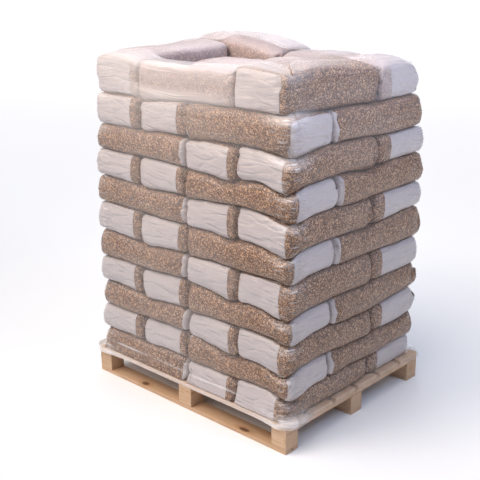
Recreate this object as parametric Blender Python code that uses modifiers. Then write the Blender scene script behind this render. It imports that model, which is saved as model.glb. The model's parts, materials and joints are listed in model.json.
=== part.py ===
"""A pallet of sacks: eleven layers of six filled sacks on a block pallet, wrapped in stretch film.

Metres, +Z up. The origin is on the floor, under the middle of the pallet.
X runs along the pallet's long side and Y across it.
"""

import math

import bmesh
import bpy
from mathutils import Matrix, Vector

# Pallet
PALLET_LENGTH = 1.2
PALLET_WIDTH = 1.0
RUNNER_THICKNESS = 0.018
RUNNER_WIDTH = 0.08
BLOCK_LENGTH = 0.08
BLOCK_HEIGHT = 0.074
CROSS_BOARD_THICKNESS = 0.020
DECK_BOARD_THICKNESS = 0.018
DECK_BOARD_COUNT = 6
DECK_BOARD_GAP = 0.028
BOARD_EDGE_ROUND = 0.0015

# Stack of sacks, layer by layer from the deck up. The lower sacks are pressed flatter.
LAYER_HEIGHTS = (0.110, 0.118, 0.120, 0.130, 0.133, 0.133, 0.127, 0.124, 0.128, 0.137, 0.172)
STACK_LENGTH = 1.196
STACK_WIDTH = 0.958
STACK_CENTRE = (-0.001, -0.006)
TAPER_START = 0.6
TOP_DRAW_IN = 0.030
TOP_SHIFT = (-0.018, -0.003)
CROSSWISE_SHARE = 0.645
SACK_SPACING = 0.006
SACK_ROUNDING = 0.052
SACK_ROUNDING_SHARE = 0.42
SACK_ROUNDING_SEGMENTS = 3
CORE_INSET = 0.060
CORE_SHARE = 0.45

# How much higher than the layer's own height each sack of the top layer stands. One sack, at the
# back left, lies on its neighbours' edges.
TOP_SACK_RISES = (0.014, -0.010, 0.0, -0.016, 0.044, -0.010)

# Stretch film. Its thickness is a stand-in: the real film is a few hundredths of a millimetre.
FILM_THICKNESS = 0.001
FILM_CORNER_RADIUS = 0.038
FILM_CORNER_STEPS = 4
FILM_TOP_FOLD = 0.075
FILM_SKIRT_DROP = 0.016
FILM_SHARP_RADIUS = 0.0008
FILM_RAMP = (0.050, 0.040)

# Two pieces that touch are drawn this far apart.
CONTACT_GAP = 0.0003

RUNNER_TOP = RUNNER_THICKNESS
BLOCK_TOP = RUNNER_TOP + BLOCK_HEIGHT
CROSS_BOARD_TOP = BLOCK_TOP + CROSS_BOARD_THICKNESS
DECK_TOP = CROSS_BOARD_TOP + DECK_BOARD_THICKNESS

parts = bpy.data.collections.new("parts")
cutters = bpy.data.collections.new("cutters")


def clear_scene():
    for obj in list(bpy.data.objects):
        bpy.data.objects.remove(obj)
    bpy.context.scene.collection.children.link(parts)
    bpy.context.scene.collection.children.link(cutters)


def principled(name, colour, roughness, alpha=1.0):
    material = bpy.data.materials.new(name)
    material.use_nodes = True
    shader = material.node_tree.nodes["Principled BSDF"]
    shader.inputs["Base Color"].default_value = (*colour, 1.0)
    shader.inputs["Roughness"].default_value = roughness
    shader.inputs["Metallic"].default_value = 0.0
    shader.inputs["Alpha"].default_value = alpha
    material.diffuse_color = (*colour, alpha)
    return material


def box_mesh(name, size):
    """A box of this size, centred on its own origin."""
    mesh = bpy.data.meshes.new(name)
    shape = bmesh.new()
    bmesh.ops.create_cube(shape, size=1.0, matrix=Matrix.Diagonal((*size, 1.0)))
    shape.to_mesh(mesh)
    shape.free()
    return mesh


def add_object(name, mesh, location, material, collection=parts):
    obj = bpy.data.objects.new(name, mesh)
    obj.location = location
    if material and material.name not in mesh.materials:
        mesh.materials.append(material)
    collection.objects.link(obj)
    return obj


def add_bevel(obj, width, segments):
    bevel = obj.modifiers.new("rounded_edges", "BEVEL")
    bevel.width = width
    bevel.segments = segments
    bevel.limit_method = "NONE"
    return bevel


def add_board(name, mesh, location, material):
    obj = add_object(name, mesh, location, material)
    add_bevel(obj, BOARD_EDGE_ROUND, 1)
    return obj


def spread(extent, width, count):
    """Centres of this many strips of this width, spaced evenly from edge to edge."""
    first = -(extent - width) / 2
    step = (extent - width) / (count - 1)
    return [first + step * index for index in range(count)]


def add_pallet(wood):
    """Four levels of boards and blocks, each level a contact gap under the next one."""
    gap = CONTACT_GAP
    column_x = spread(PALLET_LENGTH, BLOCK_LENGTH, 3)
    row_y = spread(PALLET_WIDTH, RUNNER_WIDTH, 3)

    runner = box_mesh("bottom_runner", (PALLET_LENGTH, RUNNER_WIDTH, RUNNER_THICKNESS - gap))
    for row, y in enumerate(row_y, 1):
        add_board(f"bottom_runner_{row}", runner, (0, y, (RUNNER_TOP - gap) / 2), wood)

    block = box_mesh("block", (BLOCK_LENGTH, RUNNER_WIDTH, BLOCK_HEIGHT - gap))
    for row, y in enumerate(row_y, 1):
        for column, x in enumerate(column_x, 1):
            place = (x, y, RUNNER_TOP + (BLOCK_HEIGHT - gap) / 2)
            add_board(f"block_{row}_{column}", block, place, wood)

    cross_board = box_mesh("cross_board", (BLOCK_LENGTH, PALLET_WIDTH, CROSS_BOARD_THICKNESS - gap))
    for column, x in enumerate(column_x, 1):
        place = (x, 0, BLOCK_TOP + (CROSS_BOARD_THICKNESS - gap) / 2)
        add_board(f"cross_board_{column}", cross_board, place, wood)

    gaps_width = DECK_BOARD_GAP * (DECK_BOARD_COUNT - 1)
    board_width = (PALLET_WIDTH - gaps_width) / DECK_BOARD_COUNT
    deck_board = box_mesh("deck_board", (PALLET_LENGTH, board_width, DECK_BOARD_THICKNESS - gap))
    for number, y in enumerate(spread(PALLET_WIDTH, board_width, DECK_BOARD_COUNT), 1):
        place = (0, y, CROSS_BOARD_TOP + (DECK_BOARD_THICKNESS - gap) / 2)
        add_board(f"deck_board_{number}", deck_board, place, wood)


def layer_bottom(layer):
    """Height of the underside of a layer, where layer 0 lies on the deck."""
    return DECK_TOP + sum(LAYER_HEIGHTS[:layer])


def draw_in_share(layer):
    """How far a layer is drawn in, from 0 low in the stack to nearly 1 at the top."""
    share = (layer_bottom(layer) + LAYER_HEIGHTS[layer] / 2 - DECK_TOP) / sum(LAYER_HEIGHTS)
    return max(0.0, (share - TAPER_START) / (1 - TAPER_START)) ** 2


def layer_half_size(layer):
    """Half the length and width of a layer. The film draws the upper layers in."""
    draw_in = TOP_DRAW_IN * draw_in_share(layer)
    return STACK_LENGTH / 2 - draw_in, STACK_WIDTH / 2 - draw_in


def layer_centre(layer):
    """The middle of a layer. The film pulls the upper layers a little to one side."""
    share = draw_in_share(layer)
    return tuple(middle + share * shift for middle, shift in zip(STACK_CENTRE, TOP_SHIFT))


def sack_places(layer):
    """The six (low x, high x, low y, high y) of a layer's sacks, about the middle of the layer.

    A sack lies lengthwise along X or crosswise along Y, and every other layer is mirrored,
    so that the joints don't line up.
    """
    half_x, half_y = layer_half_size(layer)
    split = -half_y + 2 * half_y * CROSSWISE_SHARE
    if layer == len(LAYER_HEIGHTS) - 1:
        middle = (-half_y + split) / 2
        return [
            (-half_x, -half_x / 2, -half_y, split),
            (half_x / 2, half_x, -half_y, split),
            (-half_x / 2, half_x / 2, -half_y, middle),
            (-half_x / 2, half_x / 2, middle, split),
            (-half_x, 0, split, half_y),
            (0, half_x, split, half_y),
        ]
    places = [
        (-half_x, -half_x / 2, -half_y, split),
        (-half_x / 2, 0, -half_y, split),
        (-half_x, 0, split, half_y),
        (half_x / 2, half_x, -split, half_y),
        (0, half_x / 2, -split, half_y),
        (0, half_x, -half_y, -split),
    ]
    if layer % 2 == 0:
        places = [(-high_x, -low_x, low_y, high_y) for low_x, high_x, low_y, high_y in places]
    return places


def sack_rounding(layer):
    """Radius of the edges of a layer's sacks."""
    return min(SACK_ROUNDING, LAYER_HEIGHTS[layer] * SACK_ROUNDING_SHARE)


def sack_height(layer, number):
    """Height of one sack of a layer."""
    rise = TOP_SACK_RISES[number] if layer == len(LAYER_HEIGHTS) - 1 else 0.0
    return LAYER_HEIGHTS[layer] + rise - CONTACT_GAP


def add_sack_cutter(name, layer, number, place):
    """One sack as a rounded block, used by its layer's union."""
    low_x, high_x, low_y, high_y = place
    height = sack_height(layer, number)
    size = (high_x - low_x - SACK_SPACING, high_y - low_y - SACK_SPACING, height)
    middle_x, middle_y = layer_centre(layer)
    centre = (
        middle_x + (low_x + high_x) / 2,
        middle_y + (low_y + high_y) / 2,
        layer_bottom(layer) + height / 2,
    )
    sack = add_object(name, box_mesh(name, size), centre, None, cutters)
    add_bevel(sack, sack_rounding(layer), SACK_ROUNDING_SEGMENTS)
    sack.hide_render = True
    sack.display_type = "WIRE"
    return sack


def add_layer(layer, material):
    """Six sacks as one solid: a slab hidden inside the layer joins them, and the joints stay open."""
    half_x, half_y = layer_half_size(layer)
    height = LAYER_HEIGHTS[layer] - CONTACT_GAP
    centre_z = layer_bottom(layer) + height / 2
    name = f"sack_layer_{layer + 1:02d}"

    core_size = (2 * (half_x - CORE_INSET), 2 * (half_y - CORE_INSET), height * CORE_SHARE)
    core = add_object(name, box_mesh(name, core_size), (*layer_centre(layer), centre_z), material)
    for number, place in enumerate(sack_places(layer)):
        sack = add_sack_cutter(f"{name}_sack_{number + 1}", layer, number, place)
        union = core.modifiers.new(sack.name, "BOOLEAN")
        union.operation = "UNION"
        union.solver = "EXACT"
        union.object = sack


def film_profile():
    """The film's inside, row by row from the skirt up to the top fold.

    A row is (height, whether it is measured from the sack tops, centre, half sizes, corner radius).
    """
    deck_half = (PALLET_LENGTH / 2 + CONTACT_GAP, PALLET_WIDTH / 2 + CONTACT_GAP)
    rows = [
        (DECK_TOP - FILM_SKIRT_DROP, False, (0, 0), deck_half, FILM_SHARP_RADIUS),
        (DECK_TOP + CONTACT_GAP, False, (0, 0), deck_half, FILM_SHARP_RADIUS),
    ]
    clear = CONTACT_GAP - SACK_SPACING / 2
    for layer, height in enumerate(LAYER_HEIGHTS):
        centre = layer_centre(layer)
        half = tuple(size + clear for size in layer_half_size(layer))
        rounding = sack_rounding(layer)
        low = layer_bottom(layer) + rounding
        high = layer_bottom(layer) + height - rounding
        rows.append((low, False, centre, half, FILM_CORNER_RADIUS))
        if layer < len(LAYER_HEIGHTS) - 1:
            rows.append((high, False, centre, half, FILM_CORNER_RADIUS))

    reach = rounding + CONTACT_GAP
    for step in range(SACK_ROUNDING_SEGMENTS + 1):
        angle = math.pi / 2 * step / SACK_ROUNDING_SEGMENTS
        draw_in = reach * (1 - math.cos(angle))
        height = reach * math.sin(angle) - CONTACT_GAP - rounding
        radius = max(FILM_SHARP_RADIUS, FILM_CORNER_RADIUS * math.cos(angle))
        rows.append((height, True, centre, (half[0] - draw_in, half[1] - draw_in), radius))
    inner = (half[0] - FILM_TOP_FOLD, half[1] - FILM_TOP_FOLD)
    rows.append((rows[-1][0], True, centre, inner, FILM_SHARP_RADIUS))
    return rows


def film_ramps():
    """Where the film steps up or down along the top edge: a list of (place, rise) for each side.

    The sides are +Y, -X, -Y and +X, run anticlockwise, and a place is along the side's own axis.
    """
    top = len(LAYER_HEIGHTS) - 1
    half_x, half_y = layer_half_size(top)
    split = -half_y + 2 * half_y * CROSSWISE_SHARE
    left, right, front, _, back_left, back_right = TOP_SACK_RISES
    joints = ((0, back_right, back_left), (split, back_left, left), (-half_x / 2, left, front))
    joints += ((half_x / 2, front, right), (split, right, back_right))
    sides = []
    for (place, before, after), ahead in zip(joints, (-1, -1, 1, 1, 1)):
        near, far = FILM_RAMP if after > before else FILM_RAMP[::-1]
        sides.append([(place - ahead * near, before), (place + ahead * far, after)])
    return [sides[0], sides[1], sides[2] + sides[3], sides[4]]


def film_ring(height, on_sacks, centre, half, radius):
    """Places round one row of the film, anticlockwise from the +X end of the +X +Y corner."""
    rises = {0: TOP_SACK_RISES[5], 1: TOP_SACK_RISES[4], 2: TOP_SACK_RISES[0], 3: TOP_SACK_RISES[1]}
    top = layer_bottom(len(LAYER_HEIGHTS))
    places = []
    for turn, (sign_x, sign_y) in enumerate(((1, 1), (-1, 1), (-1, -1), (1, -1))):
        for step in range(FILM_CORNER_STEPS + 1):
            angle = math.pi / 2 * (turn + step / FILM_CORNER_STEPS)
            x = sign_x * (half[0] - radius) + radius * math.cos(angle)
            y = sign_y * (half[1] - radius) + radius * math.sin(angle)
            places.append((x, y, rises[turn]))
        for place, rise in film_ramps()[turn]:
            if turn % 2 == 0:
                places.append((place, sign_y * half[1], rise))
            else:
                places.append((sign_x * half[0], place, rise))
    return [
        (centre[0] + x, centre[1] + y, top + height + rise if on_sacks else height)
        for x, y, rise in places
    ]


def add_film(material):
    """An open sleeve, bridged from ring to ring, that Solidify thickens outwards."""
    mesh = bpy.data.meshes.new("stretch_film")
    shape = bmesh.new()
    rings = []
    for row in film_profile():
        ring = [shape.verts.new(place) for place in film_ring(*row)]
        rings.append([shape.edges.new((ring[i - 1], ring[i])) for i in range(len(ring))])
    for lower, upper in zip(rings, rings[1:]):
        bmesh.ops.bridge_loops(shape, edges=lower + upper)
    bmesh.ops.recalc_face_normals(shape, faces=shape.faces)
    shape.to_mesh(mesh)
    shape.free()
    film = add_object("stretch_film", mesh, (0, 0, 0), material)
    for face in mesh.polygons:
        face.use_smooth = True
    outward = mesh.polygons[0].normal.dot(Vector(mesh.polygons[0].center)) > 0
    solidify = film.modifiers.new("film_thickness", "SOLIDIFY")
    solidify.thickness = FILM_THICKNESS
    solidify.offset = 1.0 if outward else -1.0
    solidify.use_even_offset = True


def main():
    clear_scene()
    wood = principled("pine", (0.62, 0.44, 0.27), 0.75)
    sack = principled("filled_sack", (0.42, 0.29, 0.22), 0.40)
    film = principled("stretch_film", (0.85, 0.85, 0.88), 0.20, alpha=0.25)
    add_pallet(wood)
    for layer in range(len(LAYER_HEIGHTS)):
        add_layer(layer, sack)
    add_film(film)


main()
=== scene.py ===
"""The looks of a pallet of sacks: 66 film sacks of wood pellets under stretch film, on a pine pallet.

Metres, +Z up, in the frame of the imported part.
"""

import json
import math

import bpy
import numpy as np
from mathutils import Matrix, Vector
from mathutils.bvhtree import BVHTree

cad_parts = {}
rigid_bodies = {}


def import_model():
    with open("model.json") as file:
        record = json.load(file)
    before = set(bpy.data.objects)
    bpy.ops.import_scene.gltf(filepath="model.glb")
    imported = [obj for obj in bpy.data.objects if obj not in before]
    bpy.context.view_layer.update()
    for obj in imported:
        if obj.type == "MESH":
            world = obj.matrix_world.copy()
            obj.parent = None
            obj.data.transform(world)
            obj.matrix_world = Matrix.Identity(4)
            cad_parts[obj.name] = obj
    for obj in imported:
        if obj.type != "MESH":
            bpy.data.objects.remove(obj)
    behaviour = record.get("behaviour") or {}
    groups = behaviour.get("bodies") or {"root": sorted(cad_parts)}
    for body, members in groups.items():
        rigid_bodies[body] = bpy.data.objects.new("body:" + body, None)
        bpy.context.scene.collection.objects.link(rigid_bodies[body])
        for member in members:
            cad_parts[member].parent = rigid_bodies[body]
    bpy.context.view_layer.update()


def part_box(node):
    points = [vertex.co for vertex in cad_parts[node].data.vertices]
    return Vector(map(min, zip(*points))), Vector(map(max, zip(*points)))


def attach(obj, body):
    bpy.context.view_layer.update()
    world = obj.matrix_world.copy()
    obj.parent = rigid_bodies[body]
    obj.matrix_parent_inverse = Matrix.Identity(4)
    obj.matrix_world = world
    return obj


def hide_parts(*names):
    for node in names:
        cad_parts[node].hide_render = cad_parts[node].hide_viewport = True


# Camera, fitted to the pallet's corners and the layer lines
CAMERA_PLACE = (2.6312, -2.9899, 1.9596)
CAMERA_YAW = 2.314
CAMERA_PITCH = 0.3083
CAMERA_LENS = 66.04
SENSOR_WIDTH = 36.0

# Layout of the sacks in the stack
LAYER_COUNT = 11
TOP_LAYER = LAYER_COUNT - 1

# How much of the stack's depth a crosswise sack takes, from the top layer down
CROSSWISE_SHARES = (0.66, 0.70, 0.635, 0.675, 0.60, 0.68, 0.60, 0.70, 0.62, 0.70, 0.625)

# How much higher than the third of them the top layer's sacks stand, and how far their edges round down
TOP_SACK_RISES = (0.006, 0.014, 0.0, -0.034, 0.040, 0.004)
TOP_SACK_CROWNS = (0.030, 0.024, 0.020, 0.035, 0.060, 0.045)
CROWN_ACROSS = 0.7
CROWN_ALONG = 0.3

# The front right sack of the top layer and the sacks beside it stand this much to the left
TOP_SACK_SHIFT = 0.012

# Closer than this to the stack's side, a sack is at the side
AT_SIDE = 0.001

# The corner nearest to the camera lies past this x and this y
FRONT_CORNER_X = 0.5
FRONT_CORNER_Y = -0.4

# The surfaces between the layers: waves, and the space that they leave to the sacks
WAVE_COUNT = 5
WAVE_LENGTH = 0.75
WAVE_HEIGHT = 0.004
LAYER_GAP = 0.001

# A hanging corner of an outer end: how deep it hangs, its place from the side and its half sizes
HANG_IN_SIGHT = 0.036
HANG_ELSEWHERE = 0.014
HANG_FROM_SIDE = 0.04
HANG_INWARDS = 0.055
HANG_ACROSS = 0.075
HANG_VARIES = (0.8, 1.2)

# Where the top layer rises or sinks: the sack, the place, the half sizes and the height
TOP_DENTS = (
    (0, -0.50, 0.14, 0.30, 0.30, 0.022),
    (1, 0.55, 0.14, 0.30, 0.25, -0.020),
    (2, 0, -0.12, 0.60, 0.25, -0.075),
    (4, -0.52, 0.30, 0.25, 0.25, 0.010),
    (4, 0, 0.40, 0.20, 0.40, -0.030),
    (5, 0.55, 0.45, 0.35, 0.30, -0.024),
)

# A sack's long edges and ends are rounded by these shares of its height
SIDE_ROUNDING = 0.32
END_ROUNDING = 0.12

# How loose a sack's film is on its filling
SLACK = 1.02
SLACK_SPREAD = 0.004

# A sack's walls, as rows of numbers that choose among its two ends and its two sides: both ends, both sides,
# and the one in front where it lies lengthwise and where it lies crosswise
WALL_CHOICES = ((1, 1, 0, 0), (0, 0, 1, 1), (0, 0, 0, 1), (0, 1, 0, 0))

# The gap to a neighbour, and how an outer wall stands and varies
NEIGHBOUR_GAP = 0.0015
OUTER_BULGE = -0.001
OUTER_CORNER = 0.018
INNER_CORNER = 0.012
END_INSET = 0.002
WALL_SPREAD = 0.002
WALL_SLANT = 0.01
WALL_LEAN = 0.03

# The lowest layer: drawn in at its ends, past the layers above in front, and square on the deck's edge
LOWEST_INSET = 0.014
LOWEST_OVERHANG = 0.009
DECK_FRONT = 0.4985
PRESSED_DEPTH = (-0.040, 0.025)
PRESSED_HEIGHT = (-0.055, 0.030)
PRESSED_OUT = 0.85
PRESSED_DOWN = 0.7

# How much the weight above squares the lowest layers' sacks, from 0 to 1, and what that takes away
SQUARED = (1.0, 0.6, 0.25)
SQUARED_CORNER = 0.3
SQUARED_BELLY = 0.6

# An outer face is curved from top to bottom by this much, on a sack's ends and on its sides
END_BELLY = 0.007
SIDE_BELLY = 0.016

# The white parts of a sack's film, from its flat ends and from one folded side
PANEL_REACH = 0.086
CROSSWISE_STRIP = 0.042
LENGTHWISE_STRIP = 0.074
FAR_STRIP = 0.004
FAR_SHIFTS = (-0.010, 0.002)
PANEL_EDGE = 0.001

# How much further in the white begins at the front corner, from the top layer down
FRONT_PANEL_SHIFTS = (0.0, 0.003, 0.0, -0.034, -0.012, -0.022, 0.018, -0.016, 0.018, 0.0, 0.026)

# White closer to an end's wall than this is on its face, and goes on round the folded sides
FACE_DEPTH = 0.013

# Width of the white edge that laps round the corner from a hidden end
WRAP_WIDTH = 0.018

# The top layer's sacks carry dust and a painted sheen above this height, over this much of it
DUST_AND_SHEEN_LOW = 1.555
DUST_AND_SHEEN_REACH = 0.04

# Grid of the cloth: rows along a sack and points around it
COARSE_ROWS = 27
COARSE_AROUND = 32

# How the cloth starts: the height of its sealed ends, how open it lies and how uneven it is
SEAL_HEIGHTS = (-0.22, 0.10)
OPEN_SHARE = 0.25
COARSE_JITTER = 0.002
FINE_JITTER = 0.0004

# How the cloth settles: steps, what its filling presses with, and how much more so at its foot
COARSE_STEPS = 200
COARSE_PRESSURE = 0.00025
FINE_STEPS = 45
FINE_PRESSURE = 0.00012
DEPTH_PRESSURE = 0.8
SPEED_KEPT = 0.8
CLOSING_SHARE = 0.6

# How stiff the cloth is, pulled and squeezed, along its threads and across them
THREAD_STIFFNESS = (1.0, 0.35)
DIAGONAL_STIFFNESS = (0.5, 0.15)
SMOOTHING_TIMES = 3
SMOOTHING = 0.2
LUMP_HEIGHT = 0.0008

# Stretch film: its grid, and how it lies on the sacks
FILM_AROUND = 260
FILM_STEP = 0.010
FILM_CLEARANCE = 0.0022
FILM_BOTTOMS = (0.1155, 0.1235)
DECK_TOP = 0.130
FILM_RADIUS = 0.060
FILM_FAN = 8
FILM_TOP_ROWS = 16

# The film's rays: where they start, how long they are, how deep the film lies without a hit, and how far in
# its upper edge is sounded
FILM_REACH = 0.10
FILM_RAY = 0.19
FILM_DEEPEST = 0.08
FILM_SOUNDING = 0.12

# The fold over the top's edge: its width, its waves (turns, start, size), and how much wider it gets
FILM_TOP_FOLD = 0.080
FOLD_WAVES = ((3, 1, 0.16), (7, 0, 0.10), (16, 0, 0.05))
FOLD_WIDER_LEFT = 0.09
FOLD_LEFT_PLACE = -0.59
FOLD_LEFT_LENGTH = 0.25
FOLD_WIDER_BEHIND = 0.18

# At the top's corners the fold is this narrow, and the film lies this close to the sacks
FOLD_AT_CORNER = 0.006
LIFT_AT_CORNER = 0.003
LIFT_FROM_CORNER = 0.25

# How the film is drawn tight: how far bumps spread, the shares of its sideways pull, its steps
FILM_SPREAD = 0.6
SIDEWAYS_UPRIGHT = 0.40
SIDEWAYS_ON_TOP = 0.25
FILM_PULL = 0.0001
DECK_CORNER = 0.005
RELAX_STEPS = 260

# Height of the level crease low on the -Y side, painted as a whitish highlight line
CREASE_HEIGHT = 0.205

# Where the film changes, each as the start of a stretch and its length. Some count towards -Y.
ON_LEFT = (0.30, 0.15)
HIGH_UP = (1.12, 0.34)
TOPMOST = (1.49, 0.08)
CLEARER = (-0.25, 0.6)
STANDING_OFF = (0.002, 0.020)
ON_RIGHT = (0.5, 0.1)
BACKWARD = (0.05, 0.2)
SHEEN_HIGH = (0.90, 0.45)
SHEEN_END = (1.43, 0.03)

# The film's lower edge, counted downwards: milky for more of its height on the right side than elsewhere
AT_RIGHT = 0.56
LOW_AT_RIGHT = (-0.16, 0.03)
LOW_ELSEWHERE = (-0.141, 0.010)
BELOW_DECK = 0.128

# The corners, where the film is pulled the tightest
CORNER_X = 0.60
CORNER_Y = 0.50
CORNER_REACH = 0.13

# How milky the film is, and what each place adds. The left is the -Y side; high on it, what is added is
# partly milkiness and partly painted glare.
HAZE = 0.015
HAZE_HIGH = 0.03
HAZE_AND_GLARE_LEFT_HIGH = 0.17
HAZE_AND_GLARE_LEFT_TOPMOST = 0.15
HAZE_LEFT_LOW = 0.045
HAZE_OFF = 0.035
HAZE_RIGHT = 0.012
HAZE_LOWEST = 0.10
HAZE_LOWEST_LEFT = 0.26
HAZE_LOWEST_CORNER = 0.4
HAZE_FOLDED = 0.08
HAZE_FOLDED_LEFT = 0.12
HAZE_FOLDED_BEHIND = 0.19

# The share of the haze that goes away towards +X and at the tight corners
CLEARED = 0.6

# How much painted sheen whitens the film where it faces upwards
SHEEN_LEFT = 0.14
SHEEN_LEFT_HIGH = 0.12

# Pellets and pine
PELLET_SPACING = 0.0052
PELLET_LENGTH = 0.0095
PELLET_TURNS = ((0.25, 0.35, 0.1), (1.45, 0.2, 0.5), (0.3, 1.35, 0.9), (0.9, 0.75, 2.2))
RING_SPACING = 0.0036

# Shades of the pellets, from the darkest to the palest
PELLET_SHADES = (
    (0.0, (0.035, 0.013, 0.006)),
    (0.3, (0.13, 0.055, 0.026)),
    (0.65, (0.285, 0.14, 0.067)),
    (1.0, (0.79, 0.50, 0.30)),
)

# Knots and one nail head that show: the board's node, the place and the half sizes
KNOTS = (
    ("bottom_runner_1", (-0.290, -0.480, 0.021), (0.024, 0.016, 0.009)),
    ("bottom_runner_1", (0.352, -0.482, 0.021), (0.034, 0.014, 0.008)),
    ("bottom_runner_1", (0.600, -0.455, 0.010), (0.004, 0.004, 0.004)),
    ("block_1_1", (-0.600, -0.500, 0.078), (0.008, 0.008, 0.007)),
)

# Floor and sky
FLOOR_SIZE = 200.0
FLOOR_COLOUR = (0.90, 0.92, 0.94)
SKY_COLOUR = (0.68, 0.78, 1.0)
SKY_STRENGTH = 0.32

# Lights, each with its strength, colour, place and target. The last whitens the floor far behind.
SUN = (2.4, (1.0, 0.92, 0.84), (-1.0, -2.5, 5.3), (0, 0, 0.7))
SUN_ANGLE = 1.0
SOFT_BOXES = {
    "left": (15.5, (1.0, 0.82, 0.68), (-0.5, -1.9, 3.1), (0, 0, 1.75)),
    "right": (17.0, (0.64, 0.73, 1.0), (2.2, 0.1, 3.0), (0, 0, 1.75)),
    "back": (4.0, (1.0, 0.97, 0.97), (-2.4, 2.8, 3.3), (0, 0, 1.75)),
}
BOX_SIZE = 1.4
BOX_SPREAD = 1.75
BACKDROP = (5800.0, (1.0, 0.97, 0.97), (-27.0, 30.0, 13.0), (-27.0, 30.0, 0.0))
BACKDROP_SIZE = 50.0


def ramp(value, start, length):
    """From 0 at the start to 1 at the end of a stretch."""
    return np.clip((value - start) / length, 0, 1)


def eased(share):
    """A share from 0 to 1 that starts and ends gently."""
    return share * share * (3 - 2 * share)


def layer_name(layer):
    return f"sack_layer_{layer + 1:02d}"


def sack_places(layer, low, high):
    """The six (low x, high x, low y, high y) of a layer's sacks, inside the frame's box of the layer."""
    centre_x, centre_y = (low.x + high.x) / 2, (low.y + high.y) / 2
    half_x, half_y = (high.x - low.x) / 2, (high.y - low.y) / 2
    split = -half_y + 2 * half_y * CROSSWISE_SHARES[TOP_LAYER - layer]
    if layer == TOP_LAYER:
        middle = (-half_y + split) / 2
        right = half_x / 2 - TOP_SACK_SHIFT
        places = [
            (-half_x, -half_x / 2, -half_y, split),
            (right, right + half_x / 2, -half_y, split),
            (-half_x / 2, right, -half_y, middle),
            (-half_x / 2, right, middle, split),
            (-half_x, 0, split, half_y),
            (0, half_x, split, half_y),
        ]
    else:
        places = [
            (-half_x, -half_x / 2, -half_y, split),
            (-half_x / 2, 0, -half_y, split),
            (-half_x, 0, split, half_y),
            (half_x / 2, half_x, -split, half_y),
            (0, half_x / 2, -split, half_y),
            (0, half_x, -half_y, -split),
        ]
        if layer % 2 == 0:
            places = [(-b, -a, c, d) for a, b, c, d in places]
    return [(centre_x + a, centre_x + b, centre_y + c, centre_y + d) for a, b, c, d in places]


class Boundary:
    """The surfaces between the layers: wavy, and dented where a corner hangs into the layer below."""

    def __init__(self, levels, seed):
        self.levels = np.array(levels)
        random = np.random.default_rng(seed)
        self.waves = random.normal(0, 1, (len(levels), WAVE_COUNT, 2)) * (2 * math.pi / WAVE_LENGTH)
        self.phase = random.uniform(0, 2 * math.pi, (len(levels), WAVE_COUNT))
        self.size = np.full((len(levels), WAVE_COUNT), WAVE_HEIGHT)
        self.size[0] = 0
        self.dents = [[] for _ in levels]

    def dent(self, index, x, y, reach_x, reach_y, amount):
        self.dents[index].append((x, y, reach_x, reach_y, amount))

    def finish(self):
        most = max(len(dents) for dents in self.dents)
        for dents in self.dents:
            dents.extend([(0, 0, 1, 1, 0)] * (most - len(dents)))
        self.dents = np.array(self.dents)

    def height(self, index, x, y):
        """Height of the boundaries with these numbers, one for each sack, at the sacks' points x, y."""
        z = np.broadcast_to(self.levels[index], x.shape).copy()
        for wave in range(WAVE_COUNT):
            turns = self.waves[index, wave, 0] * x + self.waves[index, wave, 1] * y
            z += self.size[index, wave] * np.cos(turns + self.phase[index, wave])
        for number in range(self.dents.shape[1]):
            place_x, place_y, reach_x, reach_y, amount = np.moveaxis(self.dents[index, number], -1, 0)
            if np.any(amount):
                far = ((x - place_x) / reach_x) ** 2 + ((y - place_y) / reach_y) ** 2
                z += amount * np.exp(-far)
        return z


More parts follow.
